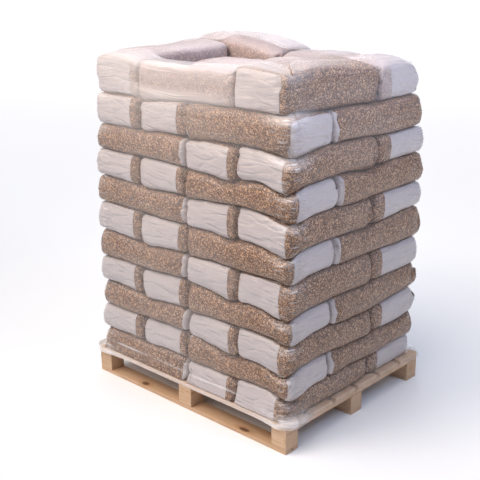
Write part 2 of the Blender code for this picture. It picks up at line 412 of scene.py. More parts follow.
class Sacks:
    """All the sacks at once, as closed tubes of cloth: points of shape (sacks, rows, around, 3).

    Locally x runs along a sack, y across it and z up. Each is blown up by its filling inside the
    space that it has in the stack.
    """

    def __init__(self, spaces, boundary, seed):
        self.boundary = boundary
        self.random = np.random.default_rng(seed)
        for key in ("lengthwise", "half_length", "half_width", "layer", "above", "crown"):
            setattr(self, key, np.array([space[key] for space in spaces])[:, None, None])
        self.centre = np.array([space["centre"] for space in spaces]).T[:, :, None, None]
        self.outer = np.array([space["outer"] for space in spaces]).T[:, :, None, None]
        self.bottom = boundary.levels[self.layer]
        self.top = boundary.levels[self.above]
        height = self.top - self.bottom
        squared = np.array(SQUARED + (0,) * (LAYER_COUNT - len(SQUARED)))[self.layer]
        corner = (4 - math.pi) / 2 * (1 - SQUARED_CORNER * squared)
        slack = SLACK * (1 + self.random.normal(0, SLACK_SPREAD, (2, len(spaces), 1, 1)))
        self.flat_width = (2 * self.half_width + height * (1 - corner * SIDE_ROUNDING)) * slack[0]
        self.flat_length = (2 * self.half_length + height * (1 - corner * END_ROUNDING)) * slack[1]

        ends, sides, front_side, front_end = np.array(WALL_CHOICES)[..., None, None, None]
        lowest = self.layer == 0
        inset = np.where(self.lengthwise, END_INSET, 0) * ends
        inset = inset + np.where(self.lengthwise, ends, sides) * np.where(lowest, LOWEST_INSET, 0)
        in_front = np.where(self.lengthwise, front_side, front_end)
        inset = inset - np.where(lowest, LOWEST_OVERHANG, 0) * in_front
        base = np.stack([self.half_length, self.half_length, self.half_width, self.half_width])
        outside = base + OUTER_BULGE - inset + self.wall_draws(0, WALL_SPREAD)
        self.walls = np.where(self.outer, outside, base - NEIGHBOUR_GAP)
        self.slant = np.where(self.outer, self.wall_draws(0, WALL_SLANT), 0)
        self.lean = np.where(self.outer, self.wall_draws(-WALL_LEAN, WALL_LEAN), 0)
        belly = (END_BELLY * ends + SIDE_BELLY * sides) * (1 - SQUARED_BELLY * squared)
        self.belly = np.where(self.outer, belly, 0)
        self.points = self.start(COARSE_ROWS, COARSE_AROUND)

    def wall_draws(self, middle, spread):
        """A random number for each wall of each sack."""
        return self.random.normal(middle, spread, (len(self.layer), 4)).T[:, :, None, None]

    def start(self, rows, around):
        """The sacks laid flat, a little open, in the middle of their layer."""
        along = np.linspace(-1, 1, rows)[None, :, None]
        share = np.arange(around) / around
        across = (np.abs(share - 0.5) * 4 - 1)[None, None, :]
        up = np.sin(share * 2 * math.pi)[None, None, :]
        height = self.top - self.bottom
        points = np.zeros((len(height), rows, around, 3))
        points[..., 0] += along * self.flat_length / 2
        points[..., 1] += across * self.flat_width / 2
        seal = self.random.uniform(*SEAL_HEIGHTS, height.shape) * height
        points[..., 2] += (self.top + self.bottom) / 2 + seal * along**4
        points[..., 2] += up * np.sqrt(np.clip(1 - along**4, 0, 1)) * height * OPEN_SHARE
        points += self.random.normal(0, COARSE_JITTER, points.shape)
        return points

    def world(self, points):
        """Local x, y as the part frame's x, y."""
        x, y = points[..., 0], points[..., 1]
        world_x = np.where(self.lengthwise, x, -y) + self.centre[0]
        world_y = np.where(self.lengthwise, y, x) + self.centre[1]
        return world_x, world_y

    def set_rest(self):
        """The cloth's own distances between its points."""
        rows, around = self.points.shape[1:3]
        self.rest_along = (self.flat_length / (rows - 1))[..., None]
        self.rest_around = (self.flat_width * 2 / around)[..., None]
        self.rest_diagonal = np.sqrt(self.rest_along**2 + self.rest_around**2)

    @staticmethod
    def pull(first, second, rest, stiffness):
        """Moves two views of the points to their rest distance, by one share when long, one when short."""
        gap = second - first
        length = np.sqrt((gap * gap).sum(-1, keepdims=True)) + 1e-9
        share = (length - rest) / length
        share = np.where(share > 0, share * stiffness[0], share * stiffness[1]) * 0.5
        gap *= share
        first += gap
        second -= gap

    def constrain(self):
        """Keeps the cloth's threads and diagonals near their lengths, and closes its ends."""
        p = self.points
        rows, around = p.shape[1:3]
        for offset in (0, 1):
            low = p[:, offset : rows - 1 : 2]
            high = p[:, offset + 1 :: 2][:, : low.shape[1]]
            self.pull(low, high, self.rest_along, THREAD_STIFFNESS)
        self.pull(p[:, :, 0::2], p[:, :, 1::2], self.rest_around, THREAD_STIFFNESS)
        shifted = np.roll(p, -1, axis=2)
        self.pull(shifted[:, :, 0::2], shifted[:, :, 1::2], self.rest_around, THREAD_STIFFNESS)
        p[:] = np.roll(shifted, 1, axis=2)
        for turn in (1, -1):
            for offset in (0, 1):
                low = p[:, offset : rows - 1 : 2]
                high = p[:, offset + 1 :: 2][:, : low.shape[1]]
                moved = np.roll(high, -turn, axis=2)
                self.pull(low, moved, self.rest_diagonal, DIAGONAL_STIFFNESS)
                high[:] = np.roll(moved, turn, axis=2)
        mirror = (-np.arange(around)) % around
        for row in (0, rows - 1):
            p[:, row] = (p[:, row] + p[:, row, mirror]) / 2

    def normals(self):
        along = np.gradient(self.points, axis=1)
        around = np.roll(self.points, -1, axis=2) - np.roll(self.points, 1, axis=2)
        normal = np.cross(around, along)
        normal /= np.sqrt((normal * normal).sum(-1, keepdims=True)) + 1e-9
        return normal

    def push(self, pressure):
        """The filling presses outwards, more so lower down."""
        depth = (self.top - self.points[..., 2]) / (self.top - self.bottom)
        return self.normals() * (pressure * (1 + DEPTH_PRESSURE * depth))[..., None]

    def wall(self, number, open_to, closed, other, z):
        """Where a wall stands: its places along the other axis and in height, between open and closed."""
        middle = (self.top + self.bottom) / 2
        place = self.walls[number] + (open_to - self.walls[number]) * (1 - closed)
        share = 2 * (z - middle) / (self.top - self.bottom)
        belly = self.belly[number] * (0.5 - share * share)
        return place + self.slant[number] * other + belly + self.lean[number] * (z - middle)

    def confine(self, closed):
        """Keeps the sacks between their neighbours. closed goes from 0, apart, to 1, at their places."""
        p = self.points
        x, y, z = p[..., 0], p[..., 1], p[..., 2]
        half_long, half_wide = self.flat_length / 2, self.flat_width / 2
        x_high = self.wall(0, half_long, closed, y, z)
        x_low = -self.wall(1, half_long, closed, y, z)
        y_high = self.wall(2, half_wide, closed, x, z)
        y_low = -self.wall(3, half_wide, closed, x, z)
        x = np.clip(x, x_low, x_high)
        y = np.clip(y, y_low, y_high)
        if closed >= 1:
            sides = ((0, x_high - x, x - x_low), (2, y_high - y, y - y_low))
            for first in (0, 1):
                for second in (0, 1):
                    outer = self.outer[first] | self.outer[2 + second]
                    radius = np.where(outer, OUTER_CORNER, INNER_CORNER)
                    in_x = radius - sides[0][1 + first]
                    in_y = radius - sides[1][1 + second]
                    far = np.hypot(in_x, in_y)
                    past = (in_x > 0) & (in_y > 0) & (far > radius)
                    share = np.where(past, 1 - radius / np.maximum(far, 1e-6), 0)
                    x = x - (1 - 2 * first) * share * in_x
                    y = y - (1 - 2 * second) * share * in_y
        p[..., 0] = x
        p[..., 1] = y
        along = np.abs(p[..., 0]) / self.half_length
        across = np.abs(p[..., 1]) / self.half_width
        crown = CROWN_ACROSS * np.minimum(across, 1) ** 3 + CROWN_ALONG * np.minimum(along, 1) ** 4
        x, y = self.world(p)
        low = self.boundary.height(self.layer, x, y) + LAYER_GAP
        high = self.boundary.height(self.above, x, y) - LAYER_GAP - self.crown * crown
        p[..., 2] = np.clip(p[..., 2], low, high)

    def settle(self, steps, pressure, closing):
        """Steps the cloth. The spaces close over the first part of the steps given by closing."""
        self.set_rest()
        before = self.points.copy()
        for step in range(steps):
            speed = (self.points - before) * SPEED_KEPT
            before = self.points.copy()
            self.points += speed + self.push(pressure)
            self.constrain()
            self.constrain()
            self.confine(eased(min(1.0, (step + 1) / (steps * closing + 1e-9))))

    def refine(self):
        """Twice the rows and points, on the same shape."""
        p = self.points
        rows = p.shape[1]
        finer = np.empty((p.shape[0], 2 * rows - 1, p.shape[2], 3))
        finer[:, 0::2] = p
        finer[:, 1::2] = (p[:, :-1] + p[:, 1:]) / 2
        around = np.empty((p.shape[0], 2 * rows - 1, 2 * p.shape[2], 3))
        around[:, :, 0::2] = finer
        around[:, :, 1::2] = (finer + np.roll(finer, -1, axis=2)) / 2
        self.points = around + self.random.normal(0, FINE_JITTER, around.shape)

    def smooth(self, times):
        """Takes the sharpest creases out of the cloth."""
        p = self.points
        for _ in range(times):
            p += (np.roll(p, 1, axis=2) + np.roll(p, -1, axis=2) - 2 * p) * SMOOTHING
            p[:, 1:-1] += (p[:, :-2] + p[:, 2:] - 2 * p[:, 1:-1]) * SMOOTHING

    def press_front(self):
        """The lowest layer's lower edge lies square along the deck's front edge."""
        y = self.world(self.points)[1]
        z = self.points[..., 2]
        low = self.bottom
        near = ramp(-y - DECK_FRONT, *PRESSED_DEPTH) * ramp(low - z, *PRESSED_HEIGHT)
        near = np.where(self.layer == 0, eased(near), 0)
        out = (-y - DECK_FRONT) * PRESSED_OUT * near
        self.points[..., 0] += np.where(self.lengthwise, 0, out)
        self.points[..., 1] += np.where(self.lengthwise, out, 0)
        self.points[..., 2] = z + (low + LAYER_GAP - z) * PRESSED_DOWN * near

    def lump(self, amount):
        """The pellets show through the film as a faint unevenness."""
        noise = self.random.normal(0, 1, self.points.shape[:3])
        for _ in range(2):
            noise = (np.roll(noise, 1, axis=2) + 2 * noise + np.roll(noise, -1, axis=2)) / 4
            noise[:, 1:-1] = (noise[:, :-2] + 2 * noise[:, 1:-1] + noise[:, 2:]) / 4
        noise[:, [0, -1]] = 0
        noise *= amount / noise.std()
        self.points += self.normals() * noise[..., None]


def sack_spaces():
    """The space of each sack, from the frame's layers."""
    random = np.random.default_rng(8)
    spaces = []
    for layer in range(LAYER_COUNT):
        low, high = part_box(layer_name(layer))
        for number, (x0, x1, y0, y1) in enumerate(sack_places(layer, low, high), 1):
            lengthwise = x1 - x0 > y1 - y0
            at_x = (x1 > high.x - TOP_SACK_SHIFT - AT_SIDE, x0 < low.x + AT_SIDE)
            at_y = (y1 > high.y - AT_SIDE, y0 < low.y + AT_SIDE)
            sizes = (x1 - x0, y1 - y0) if lengthwise else (y1 - y0, x1 - x0)
            ends = at_x if lengthwise else at_y
            wrapped = lengthwise == (layer % 2 == 0) and layer < TOP_LAYER
            at_corner = x1 > FRONT_CORNER_X and y0 < FRONT_CORNER_Y
            shift = FRONT_PANEL_SHIFTS[TOP_LAYER - layer] if at_corner else 0
            strip = CROSSWISE_STRIP + shift
            if lengthwise:
                strip = FAR_STRIP if at_corner else LENGTHWISE_STRIP
            spaces.append(
                {
                    "name": f"sack_{layer + 1:02d}_{number}",
                    "layer": layer,
                    "lengthwise": lengthwise,
                    "centre": ((x0 + x1) / 2, (y0 + y1) / 2),
                    "box": (x0, x1, y0, y1),
                    "half_length": sizes[0] / 2,
                    "half_width": sizes[1] / 2,
                    "outer": at_x + at_y if lengthwise else at_y + (at_x[1], at_x[0]),
                    "above": layer + (number if layer == TOP_LAYER else 1),
                    "crown": TOP_SACK_CROWNS[number - 1] if layer == TOP_LAYER else 0,
                    "strip_high": lengthwise and layer % 2 == 1,
                    "strip": strip,
                    "dusty": layer == TOP_LAYER and (lengthwise or x0 < 0),
                    "wrapped": [wrapped and not outer for outer in ends],
                    "far_shift": random.uniform(*FAR_SHIFTS) + (shift if lengthwise else 0),
                }
            )
    return spaces


def add_dents(boundary, spaces):
    """The outer ends' corners hang: one lower corner of each end face sinks into the layer below."""
    random = np.random.default_rng(21)
    for space in spaces:
        x0, x1, y0, y1 = space["box"]
        layer = space["layer"]
        if layer == 0:
            continue
        if space["lengthwise"]:
            hang = HANG_IN_SIGHT if y0 < FRONT_CORNER_Y else HANG_ELSEWHERE
            for outer, x in zip(space["outer"][:2], (x1, x0)):
                near = y0 if x > 0 else y1
                if outer:
                    y = near + math.copysign(HANG_FROM_SIDE, -near)
                    drop = -hang * random.uniform(*HANG_VARIES)
                    boundary.dent(layer, x, y, HANG_INWARDS, HANG_ACROSS, drop)
        else:
            hang = HANG_IN_SIGHT if x0 > -0.05 and layer < TOP_LAYER else HANG_ELSEWHERE
            for outer, y in zip(space["outer"][:2], (y1, y0)):
                near = x1 if y < 0 else x0
                if outer:
                    x = near + math.copysign(HANG_FROM_SIDE, -near)
                    drop = -hang * random.uniform(*HANG_VARIES)
                    boundary.dent(layer, x, y, HANG_ACROSS, HANG_INWARDS, drop)
    for sack, *dent in TOP_DENTS:
        boundary.dent(LAYER_COUNT + sack, *dent)
    boundary.finish()


def tube_mesh(name, index, places, values):
    """A smooth mesh from a grid of points, closed round its second axis, with values at its points.

    index says which point each place in the grid takes.
    """
    low, high = index[:-1], index[1:]
    faces = np.stack([low, np.roll(low, -1, axis=1), np.roll(high, -1, axis=1), high], axis=-1)
    used, faces = np.unique(faces, return_inverse=True)
    mesh = bpy.data.meshes.new(name)
    mesh.from_pydata(places.reshape(-1, 3)[used].tolist(), [], faces.reshape(-1, 4).tolist())
    for key, value in values.items():
        attribute = mesh.attributes.new(key, "FLOAT", "POINT")
        attribute.data.foreach_set("value", value.reshape(-1)[used].astype(np.float32))
    mesh.polygons.foreach_set("use_smooth", [True] * len(mesh.polygons))
    mesh.update()
    return mesh


def sack_mesh(space, world, local, flat_length):
    """A closed mesh from one sack's grid of points. Its two sheets share their points at the ends."""
    rows, around = world.shape[:2]
    index = np.arange(rows * around).reshape(rows, around)
    first = np.minimum(np.arange(around), (-np.arange(around)) % around)
    index[0] = index[0][first]
    index[-1] = index[-1][first]
    along, across = local[..., 0], local[..., 1] * (1 if space["strip_high"] else -1)
    half_length, half_width, far_shift = space["half_length"], space["half_width"], space["far_shift"]
    from_end = np.minimum(np.arange(rows), rows - 1 - np.arange(rows)) * flat_length / (rows - 1)
    wrap = np.ones_like(along)
    for wrapped, way in zip(space["wrapped"], (1, -1)):
        if wrapped:
            wrap = np.minimum(wrap, half_length - way * along + far_shift / 2)
    near_side, far_side = half_width - across, half_width + across
    past_strips = np.minimum(near_side - space["strip"], far_side + far_shift - FAR_STRIP)
    from_side, from_face = np.minimum(near_side, far_side), half_length - np.abs(along)
    past_strips = np.minimum(past_strips, np.maximum(from_side - FACE_DEPTH, FACE_DEPTH - from_face))
    dusty = ramp(world[..., 2], DUST_AND_SHEEN_LOW, DUST_AND_SHEEN_REACH) * (space["layer"] == TOP_LAYER)
    values = {
        "past_strips": past_strips,
        "from_end": np.tile(from_end[:, None], (1, around)),
        "from_wrapped_end": wrap,
        "dusty": np.ones_like(along) if space["dusty"] else dusty,
    }
    mesh = tube_mesh(space["name"], index, world, values)
    mesh.validate()
    return mesh


def add_piece(name, mesh, material):
    """An object on the only body, with its material's slot."""
    obj = bpy.data.objects.new(name, mesh)
    obj.data.materials.append(material)
    bpy.context.scene.collection.objects.link(obj)
    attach(obj, "root")
    return obj


def make_sacks(material):
    levels = [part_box(layer_name(layer))[0].z for layer in range(LAYER_COUNT)]
    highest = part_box(layer_name(TOP_LAYER))[1].z
    levels.extend(highest - max(TOP_SACK_RISES) + rise for rise in TOP_SACK_RISES)
    boundary = Boundary(levels, seed=4)
    spaces = sack_spaces()
    add_dents(boundary, spaces)
    sacks = Sacks(spaces, boundary, seed=11)
    sacks.settle(COARSE_STEPS, COARSE_PRESSURE, CLOSING_SHARE)
    sacks.refine()
    sacks.settle(FINE_STEPS, FINE_PRESSURE, closing=0.0)
    sacks.smooth(SMOOTHING_TIMES)
    sacks.press_front()
    sacks.lump(LUMP_HEIGHT)
    x, y = sacks.world(sacks.points)
    world = np.stack([x, y, sacks.points[..., 2]], axis=-1)
    made = []
    for number, space in enumerate(spaces):
        flat_length = sacks.flat_length[number, 0, 0]
        mesh = sack_mesh(space, world[number], sacks.points[number], flat_length)
        obj = add_piece(space["name"], mesh, material)
        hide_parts(layer_name(space["layer"]))
        made.append(obj)
    return made


def beside(values):
    """The values to either side, round the film."""
    return np.roll(values, 1, axis=1), np.roll(values, -1, axis=1)


def above_below(values):
    """The values in the rows above and below."""
    return np.vstack([values[1:], values[-1:]]), np.vstack([values[:1], values[:-1]])


def film_outline():
    """Points and outward directions round the stack, evenly along a rounded rectangle, and its length."""
    low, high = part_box(layer_name(1))
    centre = np.array([(low.x + high.x) / 2, (low.y + high.y) / 2])
    straight = np.array([high.x - low.x, high.y - low.y]) / 2 - FILM_RADIUS
    arc = math.pi / 2 * FILM_RADIUS
    length = 4 * straight.sum() + 4 * arc
    points, outwards = [], []
    for step in range(FILM_AROUND):
        past = step / FILM_AROUND * length
        for quarter in range(4):
            across, half_side = straight if quarter % 2 == 0 else straight[::-1]
            if past < 2 * half_side + arc:
                break
            past -= 2 * half_side + arc
        turn = quarter * math.pi / 2
        facing = np.array([math.cos(turn), math.sin(turn)])
        ahead = np.array([-facing[1], facing[0]])
        turn += max(past - 2 * half_side, 0) / FILM_RADIUS
        out = np.array([math.cos(turn), math.sin(turn)])
        on_side = min(past, 2 * half_side) - half_side
        points.append(centre + facing * across + ahead * on_side + out * FILM_RADIUS)
        outwards.append(out)
    return np.array(points), np.array(outwards), length


def fold_widths(outline, room):
    """How far the film is folded over the top, at each point round it."""
    wave = np.linspace(0, 2 * math.pi, FILM_AROUND, endpoint=False)
    fold = np.ones(FILM_AROUND)
    for turns, start, size in FOLD_WAVES:
        fold += size * np.sin(turns * wave + start)
    fold *= FILM_TOP_FOLD
    x, y = outline.T
    left = np.exp(-(((x - FOLD_LEFT_PLACE) / FOLD_LEFT_LENGTH) ** 2))
    fold += FOLD_WIDER_LEFT * left * ramp(y, -0.45, 0.5)
    fold += FOLD_WIDER_BEHIND * ramp(y, 0.10, 0.3)
    return np.minimum(fold, FOLD_AT_CORNER + room)


def film_rays(tree):
    """Where the film's points lie on the bare outline, and the directions that they are pushed out in.

    Rows go up the sides, round the top edge and inwards over the top. Also returns each row's place on the
    flat film, the film's length, and each point's distance from the nearest corner.
    """
    outline, outwards, length = film_outline()
    flat = np.zeros(len(outline))
    edge = np.empty(len(outline))
    for number, (place, out) in enumerate(zip(outline, outwards)):
        inside = place - out * FILM_SOUNDING
        edge[number] = tree.ray_cast(Vector((*inside, 2.0)), Vector((0, 0, -1)))[0].z - FILM_RADIUS
    for _ in range(6):
        edge = (np.roll(edge, 2) + np.roll(edge, 1) + edge + np.roll(edge, -1) + np.roll(edge, -2)) / 5
    count = round((edge.mean() - DECK_TOP) / FILM_STEP)
    hub = np.column_stack([outline - outwards * FILM_RADIUS, edge])
    room = (hub[:, :2].max(axis=0) - np.abs(hub[:, :2])).sum(axis=1)
    fold = fold_widths(outline, room)
    base, push, up = [], [], []
    low = DECK_TOP + 0.002
    for z in [*FILM_BOTTOMS, *(low + (edge - low) * step / count for step in range(count + 1))]:
        base.append(np.column_stack([outline, flat + z]))
        push.append(np.column_stack([outwards, flat]))
        up.append(np.mean(z))
    for step in range(1, FILM_FAN + 1):
        angle = math.pi / 2 * step / FILM_FAN
        out = np.column_stack([outwards * math.cos(angle), flat + math.sin(angle)])
        base.append(hub + out * FILM_RADIUS)
        push.append(out)
        up.append(edge.mean() + angle * FILM_RADIUS)
    crest = base[-1]
    for step in range(1, FILM_TOP_ROWS + 1):
        inwards = np.column_stack([outwards * (fold * step / FILM_TOP_ROWS)[:, None], flat])
        base.append(crest - inwards)
        push.append(push[-1])
        up.append(edge.mean() + math.pi / 2 * FILM_RADIUS + FILM_TOP_FOLD * step / FILM_TOP_ROWS)
    return np.array(base), np.array(push), np.array(up), length, room


def film_tree(sacks):
    """What the film is pulled tight round: the sacks and the deck."""
    vertices, faces = [], []
    nodes = [bpy.data.objects[f"deck_board_{number}"] for number in range(1, 7)]
    for obj in sacks + nodes:
        mesh = obj.data
        places = np.empty(len(mesh.vertices) * 3, dtype=np.float32)
        mesh.vertices.foreach_get("co", places)
        start = len(vertices)
        vertices.extend(places.reshape(-1, 3).tolist())
        faces.extend([[start + v for v in polygon.vertices] for polygon in mesh.polygons])
    return BVHTree.FromPolygons(vertices, faces)


def film_contact(tree, base, push):
    """How far out the film's points meet the sacks and the deck, with the bumps spread a little."""
    reach = np.full(base.shape[:2], -FILM_DEEPEST)
    for row, step in np.ndindex(reach.shape):
        out = Vector(push[row, step])
        hit = tree.ray_cast(Vector(base[row, step]) + out * FILM_REACH, -out, FILM_RAY)
        if hit[0]:
            reach[row, step] = FILM_REACH - hit[3] + FILM_CLEARANCE
    for row in (2, 3):
        reach[row] = np.maximum(reach[row], reach[1])
    deck = reach[:4]
    reach[:4] = np.maximum(deck, np.maximum(*beside(deck))) + FILM_CLEARANCE
    reach[:4] += DECK_CORNER * np.abs(2 * push[0, :, 0] * push[0, :, 1]) ** 3
    bumps = np.maximum(np.maximum(*beside(reach)), np.maximum(*above_below(reach)))
    return np.maximum(reach, reach * (1 - FILM_SPREAD) + bumps * FILM_SPREAD)


def film_drawn_tight(reach, push, upright, length, room):
    """How far out the film lies: where it meets the sacks, and drawn in between them as far as it goes."""
    highest = np.where(upright, np.inf, reach + LIFT_AT_CORNER + LIFT_FROM_CORNER * room)
    sideways = np.where(upright, SIDEWAYS_UPRIGHT, SIDEWAYS_ON_TOP)
    turning = np.linalg.norm(np.roll(push, -1, axis=1) - push, axis=2)
    pull = sideways * turning * length / FILM_AROUND
    rising = np.linalg.norm(np.diff(push, axis=0, append=push[-1:]), axis=2)
    pull += (0.5 - sideways) * rising * FILM_RADIUS * math.pi / 2 / FILM_FAN
    film = np.full(reach.shape, reach.max())
    for _ in range(RELAX_STEPS):
        drawn = np.add(*beside(film)) * sideways + np.add(*above_below(film)) * (0.5 - sideways)
        film = np.minimum(np.maximum(reach, drawn - pull - FILM_PULL), highest)
    return film


def make_film(material, sacks):
    """One sheet, pushed out to the sacks from a bare outline and drawn tight."""
    tree = film_tree(sacks)
    base, push, up, length, room = film_rays(tree)
    upright = up[:, None] < up[-FILM_FAN - FILM_TOP_ROWS - 1]
    reach = film_contact(tree, base, push)
    film = film_drawn_tight(reach, push, upright, length, room)
    world = base + push * film[..., None]
    x, y = world[..., 0], world[..., 1]
    rows, around = film.shape
    values = {
        "film_up": np.tile(up[:, None], (1, around)),
        "film_along": np.tile(np.arange(around) / around * length, (rows, 1)),
        "haze": film_haze(world, film - reach),
        "corner": film_corner(x, y) * upright,
        "sheen": film_sheen(world) * upright,
        "front": ramp(-y, 0.44, 0.02) * ramp(-x, -0.42, 0.15),
    }
    mesh = tube_mesh("film", np.arange(rows * around).reshape(rows, around), world, values)
    obj = add_piece("film", mesh, material)
    width = sum(polygon.area for polygon in mesh.polygons) / length
    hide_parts("stretch_film")


def film_haze(world, lift):
    """How milky the film is: more so high on the -Y side, where it is partly painted glare, at folds and
    edges, and where it stands off.
    """
    x, y, z = world[..., 0], world[..., 1], world[..., 2]
    high, left, clearer = ramp(z, *HIGH_UP), ramp(-y, *ON_LEFT), ramp(x, *CLEARER)
    topmost, corner = ramp(z, *TOPMOST), film_corner(x, y)
    # High on the -Y side the added haze is partly painted glare
    haze = HAZE + (HAZE_AND_GLARE_LEFT_HIGH * high + HAZE_AND_GLARE_LEFT_TOPMOST * topmost) * left * (1 - CLEARED * clearer)
    haze += HAZE_HIGH * high
    haze += HAZE_LEFT_LOW * (1 - clearer) * left * (1 - high)
    haze += HAZE_OFF * ramp(lift, *STANDING_OFF) * (1 + left * (1 - high))
    haze += HAZE_RIGHT * ramp(x, *ON_RIGHT) * (1 - corner)

    at_right = x > AT_RIGHT
    lowest = np.where(at_right, ramp(-z, *LOW_AT_RIGHT), ramp(-z, *LOW_ELSEWHERE))
    lowest = lowest * np.where((z < BELOW_DECK) & at_right, 0.4, 1)
    haze += lowest * (HAZE_LOWEST + HAZE_LOWEST_LEFT * left + HAZE_LOWEST_CORNER * corner * (y < 0))

    folded = ramp(np.arange(len(haze)), len(haze) - FILM_FAN - FILM_TOP_ROWS, FILM_FAN)
    folds = HAZE_FOLDED + HAZE_FOLDED_LEFT * left + HAZE_FOLDED_BEHIND * ramp(y, *BACKWARD)
    return haze + folded[:, None] * folds * (1 - CLEARED * corner)


def film_sheen(world):
    """Painted sheen that whitens the film where it faces upwards: on the -Y side, and more so high up."""
    y, z = world[..., 1], world[..., 2]
    sheen = SHEEN_LEFT + SHEEN_LEFT_HIGH * ramp(z, *SHEEN_HIGH)
    return sheen * ramp(-y, *ON_LEFT) * (1 - ramp(z, *SHEEN_END))


def film_corner(x, y):
    """From 1 at the corners, where the film is pulled the tightest, to 0 on the sides."""
    away = (CORNER_X - np.abs(x)) + (CORNER_Y - np.abs(y))
    return np.exp(-((away / CORNER_REACH) ** 2))


class Number:
    """A number worked out in a material, which adds and multiplies like any other."""

    def __init__(self, finish, socket):
        self.finish = finish
        self.socket = socket

    def math(self, operation, *others):
        return self.finish.math(operation, self, *others)

    def step(self, low, high):
        """From 0 at low to 1 at high, gently."""
        made = self.finish.node("ShaderNodeMapRange", self, low, high, interpolation_type="SMOOTHSTEP")
        return Number(self.finish, made.outputs[0])

    def __add__(self, other):
        return self.math("ADD", other)

    def __mul__(self, other):
        return self.math("MULTIPLY", other)

    def __sub__(self, other):
        return self.math("SUBTRACT", other)

    def __rsub__(self, other):
        return self.finish.math("SUBTRACT", other, self)

    def __abs__(self):
        return self.math("ABSOLUTE")


class Finish:
    """Builds one procedural material. Its methods return numbers, or sockets for colours and vectors."""

    def __init__(self, name, **constant):
        self.material = bpy.data.materials.new(name)
        self.material.use_nodes = True
        self.tree = self.material.node_tree
        self.shader = self.tree.nodes["Principled BSDF"]
        self.place = self.node("ShaderNodeTexCoord").outputs["Object"]
        self.output(**constant)

    def node(self, kind, *values, **settings):
        """A new node with its first inputs filled."""
        made = self.tree.nodes.new(kind)
        for name, value in settings.items():
            setattr(made, name, value)
        for socket, value in zip(made.inputs, values):
            self.set(socket, value)
        return made

    def set(self, socket, value):
        if isinstance(value, Number):
            value = value.socket
        if isinstance(value, bpy.types.NodeSocket):
            self.tree.links.new(value, socket)
        elif socket.type == "RGBA":
            socket.default_value = (*value, 1)
        else:
            socket.default_value = value

    def math(self, operation, *values):
        return Number(self, self.node("ShaderNodeMath", *values, operation=operation).outputs[0])

    def mix(self, share, first, second):
        """A colour between two."""
        made = self.node("ShaderNodeMix", share, data_type="RGBA")
        self.set(made.inputs[6], first)
        self.set(made.inputs[7], second)
        return made.outputs[2]

    def blend(self, share, first, second):
        """A number between two."""
        made = self.node("ShaderNodeMix", share, data_type="FLOAT")
        self.set(made.inputs[2], first)
        self.set(made.inputs[3], second)
        return Number(self, made.outputs[0])

    def attribute(self, name):
        return Number(self, self.node("ShaderNodeAttribute", attribute_name=name).outputs["Fac"])

    def shades(self, value, stops):
        """A colour from a row of them."""
        made = self.node("ShaderNodeValToRGB", value)
        elements = made.color_ramp.elements
        while len(elements) < len(stops):
            elements.new(0.5)
        for element, (position, colour) in zip(elements, stops):
            element.position = position
            element.color = (*colour, 1)
        return made.outputs[0]

    def parts(self, vector):
        """A vector's x, y and z."""
        return [Number(self, socket) for socket in self.node("ShaderNodeSeparateXYZ", vector).outputs]

    def facing_up(self):
        """How much the surface faces up."""
        return self.parts(self.node("ShaderNodeNewGeometry").outputs["Normal"])[2]

    def placed(self, scale, turn=(0, 0, 0), shift=(0, 0, 0), vector=None):
        """The place turned and shifted, then scaled."""
        turned = self.node("ShaderNodeMapping", vector or self.place, shift, turn)
        scaled = self.node("ShaderNodeMapping", turned.outputs[0])
        scaled.inputs["Scale"].default_value = scale
        return scaled.outputs[0]

    def noise(self, scale, detail=3.0, roughness=0.5, vector=None):
        """Noise of a scale, which is one number or one for each axis."""
        if isinstance(scale, tuple):
            vector, scale = self.placed(scale, vector=vector), 1
        made = self.node("ShaderNodeTexNoise", vector or self.place)
        made.inputs["Scale"].default_value = scale
        made.inputs["Detail"].default_value = detail
        made.inputs["Roughness"].default_value = roughness
        return Number(self, made.outputs["Fac"])

    def cells(self, vector, randomness=1.0):
        """The distance from the nearest cell's middle, and two numbers of that cell's own."""
        made = self.node("ShaderNodeTexVoronoi", vector)
        made.inputs["Scale"].default_value = 1
        made.inputs["Randomness"].default_value = randomness
        own = self.node("ShaderNodeSeparateColor", made.outputs["Color"]).outputs
        return Number(self, made.outputs["Distance"]), Number(self, own[0]), Number(self, own[1])

    def bump(self, height, distance):
        made = self.node("ShaderNodeBump")
        made.inputs["Strength"].default_value = 1
        made.inputs["Distance"].default_value = distance
        self.set(made.inputs["Height"], height)
        self.set(self.shader.inputs["Normal"], made.outputs[0])

    def output(self, **values):
        for name, value in values.items():
            self.set(self.shader.inputs[name.replace("_", " ")], value)


def pellets(sack):
    """Wood pellets lying every way, as a height and a number for each pellet's shade, from 0 to 1."""
    scale = (1 / PELLET_SPACING, 1 / PELLET_SPACING, 1 / PELLET_LENGTH)
    best, shade = None, None
    for number, turn in enumerate(PELLET_TURNS):
        distance, value, rise = sack.cells(sack.placed(scale, turn, (number * 0.73, 0.11, 0.47)))
        height = 1 - distance * distance + rise * 0.35
        if best is None:
            best, shade = height, value
        else:
            shade = sack.blend(height.math("GREATER_THAN", best), shade, value)
            best = best.math("MAXIMUM", height)
    return best.step(0.60, 1.28), shade


